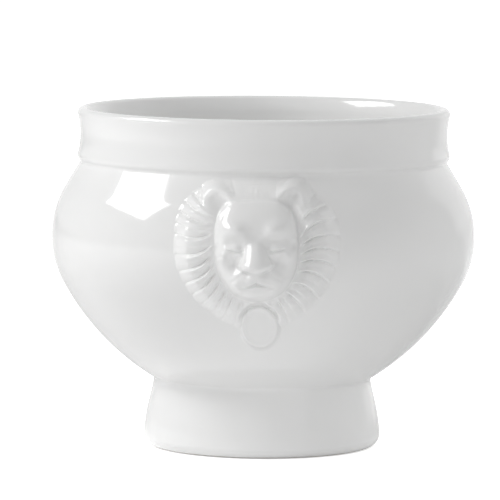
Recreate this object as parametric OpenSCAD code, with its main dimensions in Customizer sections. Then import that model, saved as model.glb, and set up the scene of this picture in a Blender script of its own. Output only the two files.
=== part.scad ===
// Footed soup bowl in white porcelain: a round belly on a hollow pedestal foot, a rounded collar at the
// mouth, and a lion mask with a plain medallion under its chin on the front and on the back.
// Millimetres, +Z up. The origin is on the axis at the standing ring, and the front mask faces -Y.

/* [Foot] */
// Height of the foot, up to the seat of the belly
foot_h = 21; // [15:0.5:32]
// Diameter of the foot's neck, right under the belly
neck_d = 67.4; // [58:0.2:76]
// Largest diameter of the foot, just above the standing ring
foot_d = 73; // [68:0.5:88]
// Wall of the foot at its neck
foot_wall = 4.2; // [3:0.1:6]
// Rounding of the outer lower edge
base_round = 3.2; // [1.6:0.1:4]
// Rounding of the inner lower edge
inner_round = 1.2; // [0.6:0.1:1.5]
// Width of the flat, bare standing ring
stand_land = 1.8; // [1:0.1:3]

/* [Belly] */
// Largest diameter of the belly
belly_d = 130.8; // [120:0.2:150]
// Height of the widest ring above the foot
bulge_h = 44; // [38:0.5:56]
// Radius of the curve through the widest ring
bulge_round = 30; // [24:0.5:36]
// Angle below the widest ring at which that curve runs into the keel
keel_angle = 28.7; // [20:0.1:34]
// Angle above the widest ring at which that curve runs into the straight shoulder
shoulder_angle = 30.8; // [24:0.1:38]
// Height of the straight shoulder, up to the collar
shoulder_h = 8.2; // [5:0.1:14]
// Step from the keel's lower edge out to the foot's neck
neck_step = 0.3; // [0.1:0.1:1.5]
// Wall of the belly
belly_wall = 3.6; // [2.8:0.1:5]
// Thickness of the floor
floor_t = 4.5; // [3:0.1:8]

/* [Collar] */
// Height of the collar, from the shoulder to the rim
collar_h = 16.2; // [12:0.1:24]
// Wall of the collar
collar_wall = 3.4; // [2.6:0.1:4.4]
// How far the collar's lower edge stands out past the shoulder
collar_step = 1.2; // [0.8:0.1:2]
// How far the collar is drawn in at its waist
waist_depth = 0.8; // [0.3:0.1:1.4]
// Rounding of the collar's lower edge
collar_round = 2; // [1.3:0.1:2.6]

/* [Lion masks] */
// Width of the mane
mane_w = 49.7; // [40:0.1:56]
// Height of the mane above the middle of the face
mane_up = 20; // [16:0.1:23]
// Height of the mane below the middle of the face
mane_down = 25; // [20:0.1:28]
// Gap between the top of the mane and the collar
mane_gap = 1.5; // [0.5:0.1:4]
// Thickness of the mane next to the face
mane_t = 3.4; // [2.4:0.1:5]
// Thickness of the mane at its edge
mane_edge_t = 1.5; // [0.8:0.1:2.4]
// Strands round the mane
strands = 36; // [24:1:44]
// Depth of the grooves between the strands
strand_depth = 0.8; // [0.3:0.1:1.4]
// Angle by which a strand swings as it runs outwards
strand_swing = 5; // [0:0.5:10]
// Width of the face
face_w = 24.8; // [20:0.1:28]
// Length of the face from hairline to chin
face_l = 30; // [26:0.1:34]
// How far the face stands out from the belly
face_t = 7.6; // [6:0.1:10]
// How far the muzzle stands out from the face
muzzle_t = 2.6; // [1:0.1:4]
// How far the nose stands out from the muzzle
nose_t = 2.6; // [1:0.1:4]
// Width of the nose at its tip
nose_w = 8; // [5:0.1:10]
// How far a brow stands out from the face
brow_t = 1.2; // [0:0.1:2]
// Depth of an eye's hollow
eye_t = 1.5; // [0:0.1:2.5]
// How far the lips and the chin stand out from the muzzle
lip_t = 1.2; // [0:0.1:2]
// Diameter of an ear
ear_d = 9; // [6:0.1:11]
// How far an ear stands out from the mane
ear_t = 2.4; // [1:0.1:4]
// Distance between the middles of the ears
ear_spread = 22.8; // [18:0.1:26]
// Lute between the back of a mask and the belly
lute_gap = 0.15; // [0.15:0.05:0.3]

/* [Medallions] */
// Diameter of a medallion
medallion_d = 12.6; // [9:0.1:16]
// Thickness of a medallion over the belly
medallion_t = 1.2; // [0.8:0.1:2]
// Width of a medallion's raised border
border_w = 1.1; // [0.6:0.1:2]
// How far the border stands out from the medallion
border_t = 0.5; // [0.2:0.1:1]
// Distance from the middle of the face down to the middle of a medallion
medallion_drop = 23.8; // [21:0.1:27]
// Joint between a medallion and the mane around it
medallion_gap = 0.3; // [0.2:0.05:0.6]

/* [Hidden] */
$fn = 180;
porcelain = "whitesmoke";
// Overrun of a cutting shape past the surface that it cuts
overrun = 2;

// Profile of the foot
neck_r = neck_d / 2;
base_centre = [foot_d / 2 - base_round, base_round];
inner_centre = [base_centre[0] - stand_land, inner_round];
neck_away = [neck_r, foot_h] - base_centre;
flare_angle = atan2(neck_away[1], neck_away[0]) - acos(base_round / norm(neck_away));

// Profile of the belly: bulge, keel below it and straight shoulder above it
bulge_centre = [belly_d / 2 - bulge_round, foot_h + bulge_h];
keel_start = bulge_centre + bulge_round * direction(-keel_angle);
keel_chord = [neck_r - neck_step, foot_h] - keel_start;
keel_round = -(keel_chord * keel_chord) / (2 * keel_chord * direction(-keel_angle));
keel_centre = keel_start - keel_round * direction(-keel_angle);
collar_z = bulge_centre[1] + bulge_round * sin(shoulder_angle) + shoulder_h;

// Profile of the collar
collar_r = belly_radius(collar_z) + collar_step;
lip_r = collar_wall / 2;
lip_z = collar_z + collar_h - lip_r;
waist_z = (collar_z + collar_round + lip_z) / 2;
waist_half = lip_z - waist_z;
waist_round = (waist_half * waist_half + waist_depth * waist_depth) / (2 * waist_depth);
bore_r = collar_r - waist_depth - collar_wall;

// Places on the lion masks, on the plane seen from the front
face_z = collar_z - mane_gap - mane_up;
medallion_z = face_z - medallion_drop;
ear_place = [ear_spread / 2, mane_up - ear_d / 2];
brow_place = [0.4 * face_w / 2, 0.42 * face_l / 2];
eye_place = [0.5 * face_w / 2, 0.04 * face_l];
nose_tip = [0, -0.14 * face_l];
muzzle_place = [0, -0.22 * face_l];
lip_place = [0.34 * face_w / 2, -0.29 * face_l];
chin_place = [0, -0.42 * face_l];
// Squareness of the outlines above and below the middle of the face
mane_square = [2.4, 1.8];
face_square = [3.4, 2];
// Rings of the relief, as shares of the face and of the mane outside it
face_rings = [0.15, 0.3, 0.44, 0.57, 0.69, 0.8, 0.89, 0.96, 1];
mane_rings = [0.1, 0.32, 0.56, 0.78, 0.93, 1];
ring_count = len(face_rings) + len(mane_rings);
spokes = 2 * strands;

function direction(angle) = [cos(angle), sin(angle)];

// Outer radius of the belly at height z, grown outwards by grow
function belly_radius(z, grow = 0) =
    let (up = bulge_centre + (bulge_round + grow) * direction(shoulder_angle),
         low = bulge_centre + (bulge_round + grow) * direction(-keel_angle))
    z > up[1] ? up[0] - (z - up[1]) * tan(shoulder_angle)
    : z > low[1] ? bulge_centre[0] + sqrt(pow(bulge_round + grow, 2) - pow(z - bulge_centre[1], 2))
    : keel_centre[0] + sqrt(pow(keel_round + grow, 2) - pow(z - keel_centre[1], 2));

// Distance from the middle of an outline with half width w to its edge, along an angle
function outline(angle, w, up, down, square) =
    let (high = sin(angle) > 0, n = high ? square[0] : square[1], h = high ? up : down)
    pow(pow(abs(cos(angle)) / w, n) + pow(abs(sin(angle)) / h, n), -1 / n);

// Distance from the middle of the face to the joint round the medallion, along an angle that meets it
function notch(angle) =
    let (reach = medallion_d / 2 + medallion_gap, along = -medallion_drop * sin(angle),
         aside = medallion_drop * cos(angle))
    along > 0 && abs(aside) < reach ? along - sqrt(reach * reach - aside * aside) : mane_w;

// Smooth bump of height 1 with half widths size, about a place
function bump(p, place, size) =
    exp(-pow((p[0] - place[0]) / size[0], 2) - pow((p[1] - place[1]) / size[1], 2));

// The same bump on both sides of the face
function pair(p, place, size) = bump([abs(p[0]), p[1]], place, size);

// Ridge of the nose, widening and rising from the brow to the tip
function nose(p) =
    let (run = (brow_place[1] - p[1]) / (brow_place[1] - nose_tip[1]), share = min(max(run, 0), 1),
         half = nose_w * (0.3 + 0.2 * share))
    exp(-pow(p[0] / half, 4))
    * (p[1] < nose_tip[1] ? exp(-pow((nose_tip[1] - p[1]) / (nose_w / 4), 2)) : share);

// Relief of the face over the belly; share runs from 0 in its middle to 1 at its edge
function face_relief(p, share) =
    mane_t + (face_t - mane_t) * pow(1 - pow(share, 4), 0.5)
    + (1 - pow(share, 4)) * (nose_t * nose(p) + muzzle_t * bump(p, muzzle_place, face_l * [0.22, 0.2])
    + brow_t * pair(p, brow_place, face_l * [0.13, 0.09]) - eye_t * pair(p, eye_place, face_l * [0.11, 0.08])
    + lip_t * pair(p, lip_place, face_l * [0.14, 0.09]) + lip_t * bump(p, chin_place, face_l * [0.16, 0.09]));

// Relief of the mane over the belly; share runs from 0 at the face to 1 at its edge
function mane_relief(p, share, groove) =
    mane_edge_t + (mane_t - mane_edge_t) * pow(1 - pow(share, 3), 0.6)
    - (groove ? strand_depth * sin(180 * min(share + 0.1, 0.95)) : 0)
    + ear_t * (pair(p, ear_place, [ear_d / 2, ear_d / 2]) - 0.9 * pair(p, ear_place, [ear_d / 5, ear_d / 4]));

// Point on the plane seen from the front, on one ring and spoke of the relief
function plane_point(ring, spoke) =
    let (on_face = ring < len(face_rings), share = on_face ? 1 : mane_rings[ring - len(face_rings)],
         angle = 360 * spoke / spokes + (on_face ? 0 : strand_swing * sin(150 * share)),
         inside = outline(angle, face_w / 2, face_l / 2, face_l / 2, face_square),
         outside = min(notch(angle), outline(angle, mane_w / 2, mane_up, mane_down, mane_square)))
    (on_face ? face_rings[ring] * inside : inside + share * (outside - inside)) * direction(angle);

// Point of the front mask at p on that plane, standing out from the belly by relief
function mask_point(p, relief) =
    [p[0], -sqrt(pow(belly_radius(face_z + p[1]), 2) - p[0] * p[0]) - relief, face_z + p[1]];

function relief_point(ring, spoke) =
    let (p = plane_point(ring, spoke), mane_ring = ring - len(face_rings))
    mask_point(p, mane_ring < 0 ? face_relief(p, face_rings[ring])
                                : mane_relief(p, mane_rings[mane_ring], spoke % 2 == 1));

// Part of a disc between two angles
module sector(centre, radius, from, to) {
    middle = (from + to) / 2;
    translate(centre) intersection() {
        circle(radius);
        polygon([[0, 0], 2 * radius * direction(from), 2 * radius * direction(middle),
                 2 * radius * direction(to)]);
    }
}

// Half section of the solid belly from height low to height high, grown outwards by grow
module belly_section(low, high, grow) {
    shoulder = bulge_centre + (bulge_round + grow) * direction(shoulder_angle);
    keel = bulge_centre + (bulge_round + grow) * direction(-keel_angle);
    keel_end = -asin((keel_centre[1] - low) / (keel_round + grow));
    intersection() {
        union() {
            sector(bulge_centre, bulge_round + grow, -keel_angle, shoulder_angle);
            sector(keel_centre, keel_round + grow, keel_end, -keel_angle);
            polygon([[0, low], [belly_radius(low, grow), low], keel, shoulder,
                     [belly_radius(high, grow), high], [0, high]]);
        }
        translate([0, low]) square([belly_d, high - low]);
    }
}

// Solid of the whole belly, grown outwards by grow
module belly_solid(grow) {
    rotate_extrude() belly_section(foot_h, collar_z, grow);
}

// Round bar through the front medallion, along -Y from the axis
module medallion_bar(diameter) {
    translate([0, 0, medallion_z]) rotate([90, 0, 0]) cylinder(d = diameter, h = belly_d);
}

// Flared ring with a rounded lower edge, hollow from the standing ring up to the seat of the belly
module pedestal_foot() {
    color(porcelain) rotate_extrude() difference() {
        union() {
            polygon([[0, 0], [base_centre[0], 0], base_centre + base_round * direction(flare_angle),
                     [neck_r, foot_h], [0, foot_h]]);
            translate(base_centre) circle(base_round);
        }
        difference() {
            polygon([[0, -overrun], [inner_centre[0], -overrun], inner_centre,
                     inner_centre - [inner_round, 0], [neck_r - foot_wall, foot_h],
                     [neck_r - foot_wall, foot_h + overrun], [0, foot_h + overrun]]);
            translate(inner_centre) circle(inner_round);
        }
    }
}

// Bowl from its floor up to the seat of the collar, bored flush with the collar at the top
module belly_shell() {
    color(porcelain) rotate_extrude() difference() {
        belly_section(foot_h, collar_z, 0);
        belly_section(foot_h + floor_t, collar_z + overrun, -belly_wall);
        translate([0, collar_z - shoulder_h]) square([bore_r, shoulder_h + overrun]);
    }
}

// Ring on the shoulder with a rounded lower edge, a drawn-in waist and a round lip
module collar() {
    color(porcelain) rotate_extrude() difference() {
        union() {
            polygon([[bore_r, collar_z], [collar_r - collar_round, collar_z],
                     [collar_r, collar_z + collar_round], [collar_r, lip_z],
                     [collar_r - collar_wall, lip_z], [bore_r, waist_z]]);
            translate([collar_r - collar_round, collar_z + collar_round]) circle(collar_round);
            translate([collar_r - lip_r, lip_z]) circle(lip_r);
        }
        translate([collar_r - waist_depth + waist_round, waist_z]) circle(waist_round);
    }
}

// Lion mask, with the back of its relief on the belly and its lower edge round the medallion
module front_lion_mask() {
    front = [for (ring = [0 : ring_count - 1]) [for (spoke = [0 : spokes - 1]) relief_point(ring, spoke)]];
    back = [for (ring = [ring_count - 1 : -2 : 0])
            [for (spoke = [0 : spokes - 1]) mask_point(plane_point(ring, spoke), lute_gap)]];
    rings = concat(front, back);
    points = concat([mask_point([0, 0], face_relief([0, 0], 0))], [for (ring = rings) each ring],
                    [mask_point([0, 0], lute_gap)]);
    last = 1 + (len(rings) - 1) * spokes;
    color(porcelain) polyhedron(points, [for (spoke = [0 : spokes - 1])
        let (next = (spoke + 1) % spokes)
        each concat([[0, 1 + next, 1 + spoke], [len(points) - 1, last + spoke, last + next]],
            [for (a = [1 : spokes : last - spokes])
                each [[a + spoke, a + next, a + spokes + spoke],
                      [a + next, a + spokes + next, a + spokes + spoke]]])]);
}

module rear_lion_mask() {
    rotate(180) front_lion_mask();
}

// Plain disc with a raised border, seated on the belly
module front_medallion() {
    color(porcelain) difference() {
        intersection() {
            belly_solid(medallion_t + border_t);
            medallion_bar(medallion_d);
        }
        belly_solid(0);
        difference() {
            medallion_bar(medallion_d - 2 * border_w);
            belly_solid(medallion_t);
        }
    }
}

module rear_medallion() {
    rotate(180) front_medallion();
}

belly_shell();
collar();
pedestal_foot();
front_lion_mask();
rear_lion_mask();
front_medallion();
rear_medallion();
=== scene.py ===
"""Footed soup bowl in white glazed porcelain, with a lion's head and a medallion on its front and back."""
import math

import bpy
import numpy as np
from bpy.props import FloatProperty, FloatVectorProperty, IntProperty, PointerProperty
from mathutils import Matrix, Vector


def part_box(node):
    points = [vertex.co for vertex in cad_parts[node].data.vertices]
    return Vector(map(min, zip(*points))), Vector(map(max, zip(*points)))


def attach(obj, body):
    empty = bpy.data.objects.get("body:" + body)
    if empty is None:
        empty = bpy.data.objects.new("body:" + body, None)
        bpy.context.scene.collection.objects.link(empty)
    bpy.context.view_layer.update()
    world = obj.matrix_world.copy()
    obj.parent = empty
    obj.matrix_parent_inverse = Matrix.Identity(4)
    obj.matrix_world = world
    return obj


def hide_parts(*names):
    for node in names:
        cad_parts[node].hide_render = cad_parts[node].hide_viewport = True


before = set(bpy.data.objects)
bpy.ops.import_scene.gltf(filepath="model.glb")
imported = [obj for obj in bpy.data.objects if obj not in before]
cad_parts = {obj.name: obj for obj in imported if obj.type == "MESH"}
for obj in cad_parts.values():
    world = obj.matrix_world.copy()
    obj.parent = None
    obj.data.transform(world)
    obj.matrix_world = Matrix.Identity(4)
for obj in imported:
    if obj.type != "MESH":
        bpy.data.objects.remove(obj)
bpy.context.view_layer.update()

bl_info = {
    "name": "Lion soup bowl",
    "version": (1, 0, 0),
    "blender": (4, 5, 0),
    "location": "View3D > Sidebar > Soup bowl",
    "description": "Models a footed porcelain soup bowl with lion masks around its packed frame",
    "category": "Object",
}

BELLY_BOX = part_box("belly_shell")
COLLAR_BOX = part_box("collar")
FOOT_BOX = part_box("pedestal_foot")
MM = 0.001
BODY = "root"


def setting(kind, **fixed):
    """Makes a kind of setting that a user may change, from its name, its description and its default."""
    def make(name, description, default):
        return kind(name=name, description=description, default=default, **fixed)
    return make


length = setting(FloatProperty, unit="LENGTH", precision=5)
turned = setting(FloatProperty, subtype="ANGLE")
colour = setting(FloatVectorProperty, subtype="COLOR", min=0.0, max=1.0)
factor = setting(FloatProperty, subtype="FACTOR", min=0.0, max=1.0)
amount = setting(FloatProperty)
whole_number = setting(IntProperty)


def angle(name, description, degrees):
    """An angle that a user may change."""
    return turned(name, description, math.radians(degrees))


class BowlSizes(bpy.types.PropertyGroup):
    """Sizes of the parts that are thrown on the wheel."""
    facets: whole_number("Facets", "Faces round each thrown part", 256)
    belly_radius: length("Belly radius", "Widest radius of the belly", BELLY_BOX[1].x)
    bulge_height: length("Bulge height", "Height of the belly's widest place", 65.0 * MM)
    bulge_round: length("Bulge round", "Radius of the bulge's own curve", 30.0 * MM)
    keel_angle: angle("Keel angle", "Where the bulge runs over into the underside", 28.7)
    shoulder_angle: angle("Shoulder angle", "Where the bulge runs over into the shoulder", 30.8)
    belly_wall: length("Belly wall", "Thickness of the belly's wall", 3.6 * MM)
    floor_thickness: length("Floor thickness", "Thickness of the bowl's floor", 4.5 * MM)
    floor_round: length("Floor round", "Radius between the floor and the wall inside", 14.0 * MM)
    neck_radius: length("Neck radius", "Radius of the foot where it meets the belly", 33.7 * MM)
    neck_step: length("Neck step", "How far inside the neck the belly's curve starts", 0.3 * MM)
    foot_wall: length("Foot wall", "Thickness of the foot's wall", 4.2 * MM)
    base_round: length("Base round", "Radius of the foot's outer lower edge", 3.2 * MM)
    inner_round: length("Inner round", "Radius of the foot's inner lower edge", 1.2 * MM)
    stand_width: length("Standing width", "Width of the flat ring that the bowl stands on", 1.8 * MM)
    foot_fillet: length("Foot fillet", "Radius of the glaze between the foot and the belly", 1.5 * MM)
    collar_wall: length("Collar wall", "Thickness of the collar at its lip", 3.4 * MM)
    collar_round: length("Collar round", "Radius of the collar's lower edge", 2.0 * MM)
    collar_fillet: length("Collar fillet", "Radius of the glaze under the collar", 1.2 * MM)
    lip_lean: angle("Lip lean", "How far the inside of the lip leans out", 27.0)
    waist_depth: length("Waist depth", "How far the collar is drawn in at its waist", 0.8 * MM)
    waist_round: length("Waist round", "Radius of the collar's hollow waist", 24.8 * MM)


class LionSizes(bpy.types.PropertyGroup):
    """Sizes of the lion masks and the medallions under them."""
    segments: whole_number("Segments", "Mesh spokes round a mask", 600)
    rings: whole_number("Rings", "Mesh rings from the front of a mask to its back", 158)
    face_height: length("Face height", "Height of the face's middle above the table", 67.06 * MM)
    face_half: length("Face half width", "Half the width of the face", 12.4 * MM)
    forehead: length("Forehead", "From the middle of the face up to the hairline", 14.5 * MM)
    chin: length("Chin", "From the middle of the face down to the chin", 15.6 * MM)
    mane_half: length("Mane half width", "Half the width of the mane", 24.1 * MM)
    mane_up: length("Mane top", "From the middle of the face up to the top of the mane", 20.0 * MM)
    mane_down: length("Mane bottom", "From the middle of the face down to the tip of the mane", 25.0 * MM)
    strands: whole_number("Strands", "Main strands round the mane", 30)
    strand_depth: length("Strand depth", "Depth of the grooves between the strands", 1.1 * MM)
    medallion_half: length("Medallion half width", "Half the width of the medallion", 5.9 * MM)
    medallion_tall: length("Medallion half height", "Half the height of the medallion", 7.3 * MM)
    medallion_drop: length("Medallion drop", "From the middle of the face down to the medallion", 24.2 * MM)
    medallion_rise: length("Medallion thickness", "How far the medallion stands out", 1.2 * MM)
    border_width: length("Border width", "Width of the medallion's border", 1.1 * MM)
    border_rise: length("Border height", "How far the border stands above the medallion", 0.5 * MM)
    lean: angle("Lean", "How far the mask and its medallion lean to the left at their top", 2.0)


class PorcelainLook(bpy.types.PropertyGroup):
    """Colours and finish of the porcelain."""
    glaze: colour("Glaze", "White body under clear glaze", (0.9, 0.9, 0.895))
    pooled: colour("Pooled glaze", "Where the glaze lies thicker", (0.82, 0.83, 0.83))
    biscuit: colour("Biscuit", "Bare fired clay of the standing ring", (0.74, 0.72, 0.68))
    roughness: factor("Glaze roughness", "Roughness of the fired glaze", 0.07)
    bare_height: length("Bare height", "How high the bare clay of the standing ring reaches", 0.9 * MM)


class StudioLook(bpy.types.PropertyGroup):
    """Camera, lamp, room and floor of the studio."""
    distance: length("Camera distance", "From the bowl's axis to the camera, along the table", 1467.0 * MM)
    height: length("Camera height", "Height of the camera above the table", 204.3 * MM)
    pitch: angle("Camera pitch", "How far the camera looks down", 5.60)
    turn: angle("Camera turn", "How far round the bowl the camera stands", 1.7)
    roll: angle("Camera roll", "How far the camera leans", 0.4)
    focal: amount("Focal length", "On a sensor 36 mm wide", 342.4)
    shift: amount("Shift", "Sideways shift of the picture", -0.026)
    softbox_power: amount("Softbox power", "Watts", 8.6)
    softbox_turn: angle("Softbox bearing", "From the camera's side of the bowl; negative is left", -86.0)
    softbox_rise: angle("Softbox elevation", "Height of the softbox above the horizon", 36.8)
    softbox_roll: angle("Softbox roll", "How far the softbox leans", -6.5)
    softbox_distance: length("Softbox distance", "From the bowl to the softbox", 1.2)
    softbox_width: length("Softbox width", "Width of the softbox", 0.72)
    softbox_height: length("Softbox height", "Height of the softbox", 0.43)
    front_light: amount("Front light", "Brightness of the room's front wall", 0.73)
    corner_light: amount("Corner light", "Brightness of the corner behind on the right", 1.87)
    mirrored_left: factor("Mirrored left", "Brightness of the room's left side as the glaze shows it", 0.72)
    mirrored_room: factor("Mirrored room", "Brightness of the room as the glaze shows it", 0.97)
    mirrored_right: factor("Mirrored right", "Brightness of the room's right side as the glaze shows it", 0.5)
    floor: colour("Floor", "White paper under the bowl", (0.94, 0.94, 0.94))
    floor_seen: factor("Floor as seen", "Added to the lit floor where the camera sees it", 0.6)
    floor_before: factor("Floor before the bowl", "Added where the glaze mirrors the floor in front", 0.65)
    floor_behind: factor("Floor behind the bowl", "Added where the glaze mirrors the floor behind", 0.35)


# Profiles of the thrown parts, as points of radius and height

# Small corners: inside the bore, and where the collar and the foot reach into the belly
INNER_CORNER = 0.2 * MM
COLLAR_TUCK = (0.6 * MM, 0.5 * MM)
FOOT_TUCK = (1.0 * MM, 0.6 * MM)
BORE_STEP = (0.5 * MM, 0.3 * MM)


def polar(centre, radius, turn):
    """A point on a circle in the profile's plane, with the angle measured from straight outwards."""
    return (centre[0] + radius * math.cos(turn), centre[1] + radius * math.sin(turn))


def arc(centre, radius, start, end, steps):
    """Points along a round stretch of a profile."""
    return [polar(centre, radius, turn) for turn in np.linspace(start, end, steps + 1)]


def bearing(centre, point):
    """Angle of a point as seen from a centre."""
    return math.atan2(point[1] - centre[1], point[0] - centre[0])


class BellyShape:
    """Curves of the belly, which the other parts meet."""

    def __init__(self, sizes):
        self.foot_top = FOOT_BOX[1].z
        self.collar_z = COLLAR_BOX[0].z
        self.keel_angle = sizes.keel_angle
        self.shoulder_angle = sizes.shoulder_angle
        self.bulge_round = sizes.bulge_round
        self.bulge_centre = (sizes.belly_radius - sizes.bulge_round, sizes.bulge_height)
        start = Vector(polar(self.bulge_centre, self.bulge_round, -self.keel_angle))
        outward = Vector((math.cos(self.keel_angle), -math.sin(self.keel_angle)))
        chord = Vector((sizes.neck_radius - sizes.neck_step, self.foot_top)) - start
        self.keel_round = -chord.dot(chord) / (2.0 * chord.dot(outward))
        self.keel_centre = tuple(start - self.keel_round * outward)
        self.keel_low = bearing(self.keel_centre, start + chord)

    def shoulder_join(self, grow=0.0):
        """Point where the bulge's curve runs over into the straight shoulder."""
        return polar(self.bulge_centre, self.bulge_round + grow, self.shoulder_angle)

    def radius(self, z):
        """Outer radius of the belly at an array of heights."""
        keel_r, keel_z = self.keel_centre
        bulge_r, bulge_z = self.bulge_centre
        low = keel_r + np.sqrt(np.maximum(self.keel_round ** 2 - (z - keel_z) ** 2, 0.0))
        mid = bulge_r + np.sqrt(np.maximum(self.bulge_round ** 2 - (z - bulge_z) ** 2, 0.0))
        join_r, join_z = self.shoulder_join()
        high = join_r - (z - join_z) * math.tan(self.shoulder_angle)
        keel_top = polar(self.bulge_centre, self.bulge_round, -self.keel_angle)[1]
        return np.where(z < keel_top, low, np.where(z < join_z, mid, high))

    def wall(self, low_turn, top_z, grow, steps):
        """Profile from the keel up to the shoulder at a height."""
        points = arc(self.keel_centre, self.keel_round + grow, low_turn, -self.keel_angle, steps)
        bulge = self.bulge_round + grow
        points += arc(self.bulge_centre, bulge, -self.keel_angle, self.shoulder_angle, steps)[1:]
        join_r, join_z = points[-1]
        slope = math.tan(self.shoulder_angle)
        for share in (0.25, 0.5, 0.75, 1.0):
            z = join_z + share * (top_z - join_z)
            points.append((join_r - (z - join_z) * slope, z))
        return points


def belly_profile(sizes):
    """Profile of the belly, from the middle of its floor over the wall to the middle of its underside."""
    shape = BellyShape(sizes)
    floor_z = shape.foot_top + sizes.floor_thickness
    inner_keel = shape.keel_round - sizes.belly_wall
    round_z = floor_z + sizes.floor_round
    reach = inner_keel - sizes.floor_round
    round_r = shape.keel_centre[0] + math.sqrt(reach ** 2 - (shape.keel_centre[1] - round_z) ** 2)
    round_centre = (round_r, round_z)
    low_turn = bearing(shape.keel_centre, round_centre)
    floor = [(share * round_r, floor_z) for share in np.linspace(0.0, 1.0, 9)]
    floor += arc(round_centre, sizes.floor_round, -math.pi / 2, low_turn, 14)[1:]
    bore = COLLAR_BOX[1].x - sizes.waist_depth - sizes.collar_wall
    slope = math.tan(shape.shoulder_angle)
    join_r, join_z = shape.shoulder_join(-sizes.belly_wall)
    bore_z = join_z + (join_r - bore) / slope
    inside = shape.wall(low_turn, bore_z, -sizes.belly_wall, 36)[1:-1]
    inside += [(bore + 0.6 * INNER_CORNER, bore_z - INNER_CORNER), (bore, bore_z + 2.0 * INNER_CORNER),
               (bore, shape.collar_z)]
    outside = shape.wall(shape.keel_low, shape.collar_z, 0.0, 44)
    under = [(share * outside[0][0], shape.foot_top) for share in np.linspace(0.0, 1.0, 6)[:-1]]
    return floor + inside + outside[::-1] + under[::-1]


def collar_profile(sizes):
    """Closed profile of the collar, from its bore over the lip and the waist to the glaze on the shoulder."""
    shape = BellyShape(sizes)
    outer = COLLAR_BOX[1].x
    lip = sizes.collar_wall / 2.0
    lip_centre = (outer - lip, COLLAR_BOX[1].z - lip)
    bore = outer - sizes.waist_depth - sizes.collar_wall
    waist_r = outer - sizes.waist_depth + sizes.waist_round
    waist_rise = math.sqrt((sizes.waist_round + lip) ** 2 - (waist_r - lip_centre[0]) ** 2)
    waist_centre = (waist_r, lip_centre[1] - waist_rise)
    edge_r = outer - sizes.collar_round
    edge_drop = math.sqrt((sizes.waist_round + sizes.collar_round) ** 2 - (waist_r - edge_r) ** 2)
    edge_centre = (edge_r, waist_centre[1] - edge_drop)
    lip_turn = bearing(lip_centre, waist_centre)
    edge_turn = bearing(edge_centre, waist_centre)
    fillet = sizes.collar_fillet
    out = Vector((math.cos(shape.shoulder_angle), math.sin(shape.shoulder_angle)))
    down = Vector((out.y, -out.x))
    start = Vector(shape.shoulder_join()) + fillet * out - Vector(edge_centre)
    ahead = start.dot(down)
    away = (sizes.collar_round + fillet) ** 2 - start.dot(start)
    step = -ahead + math.sqrt(ahead ** 2 + away)
    fillet_centre = Vector(edge_centre) + start + step * down
    contact = fillet_centre - fillet * out
    edge_end = bearing(edge_centre, fillet_centre)
    lip_start = math.pi - sizes.lip_lean
    lip_in = polar(lip_centre, lip, lip_start)
    ease = (lip_in[0] - bore) / (1.0 - math.cos(sizes.lip_lean))
    ease_centre = (bore + ease, lip_in[1] - ease * math.sin(sizes.lip_lean))
    inside = [(bore, shape.collar_z + share * (ease_centre[1] - shape.collar_z))
              for share in np.linspace(0.0, 1.0, 5)]
    inner_lip = arc(ease_centre, ease, math.pi, lip_start, 12)
    over = arc(lip_centre, lip, lip_start, lip_turn, 20)
    waist = arc(waist_centre, sizes.waist_round, lip_turn + math.pi, edge_turn + math.pi, 20)
    edge = arc(edge_centre, sizes.collar_round, edge_turn, edge_end, 12)
    pool = arc(fillet_centre, fillet, edge_end + math.pi, shape.shoulder_angle + math.pi, 10)
    deep, inwards = COLLAR_TUCK
    hidden = [tuple(contact - deep * out), (edge_r - inwards, shape.collar_z), (bore, shape.collar_z)]
    return inside + inner_lip[1:] + over[1:] + waist[1:] + edge[1:] + pool[1:] + hidden


def foot_profile(sizes):
    """Profile of the hollow foot, from the standing ring up the outside and down the inside."""
    shape = BellyShape(sizes)
    base_centre = (FOOT_BOX[1].x - sizes.base_round, sizes.base_round)
    inner_centre = (base_centre[0] - sizes.stand_width, sizes.inner_round)
    fillet = sizes.foot_fillet
    wall_r = sizes.neck_radius + fillet
    reach = shape.keel_round + fillet
    fillet_z = shape.keel_centre[1] - math.sqrt(reach ** 2 - (wall_r - shape.keel_centre[0]) ** 2)
    fillet_centre = (wall_r, fillet_z)
    keel_turn = bearing(fillet_centre, shape.keel_centre)
    start = arc(base_centre, sizes.base_round, -math.pi / 2, 0.0, 14)
    flare_low = start[-1]
    flare = []
    for share in np.linspace(0.0, 1.0, 41)[1:-1]:
        drawn_in = 1.0 - (1.0 - share ** 2) ** 1.5
        flare.append((flare_low[0] - (flare_low[0] - sizes.neck_radius) * drawn_in,
                      flare_low[1] + share * (fillet_z - flare_low[1])))
    pool = arc(fillet_centre, fillet, math.pi, keel_turn, 14)
    bore = sizes.neck_radius - sizes.foot_wall
    top = [(pool[-1][0] - FOOT_TUCK[0], pool[-1][1] + FOOT_TUCK[1]), (bore, shape.foot_top + BORE_STEP[0])]
    inner_wall = [(bore, shape.foot_top - BORE_STEP[1])]
    inner_low = (inner_centre[0] - sizes.inner_round, sizes.inner_round)
    for share in np.linspace(0.15, 0.9, 6):
        inner_wall.append((inner_wall[0][0] + share * (inner_low[0] - inner_wall[0][0]),
                           inner_wall[0][1] + share * (inner_low[1] - inner_wall[0][1])))
    inner_edge = arc(inner_centre, sizes.inner_round, -math.pi, -math.pi / 2, 8)
    return start + flare + pool + top + inner_wall + inner_edge


# Relief of the lion's head, in millimetres from the middle of the face: x to the right, z up

def smooth(low, high, value):
    """Eases from 0 to 1 between two values."""
    share = np.clip((value - low) / (high - low), 0.0, 1.0)
    return share * share * (3.0 - 2.0 * share)


def swell(x, z, place, size):
    """Soft round swelling with a height of 1."""
    across = (x - place[0]) / size[0]
    up = (z - place[1]) / size[1]
    return np.exp(-across * across - up * up)


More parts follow.
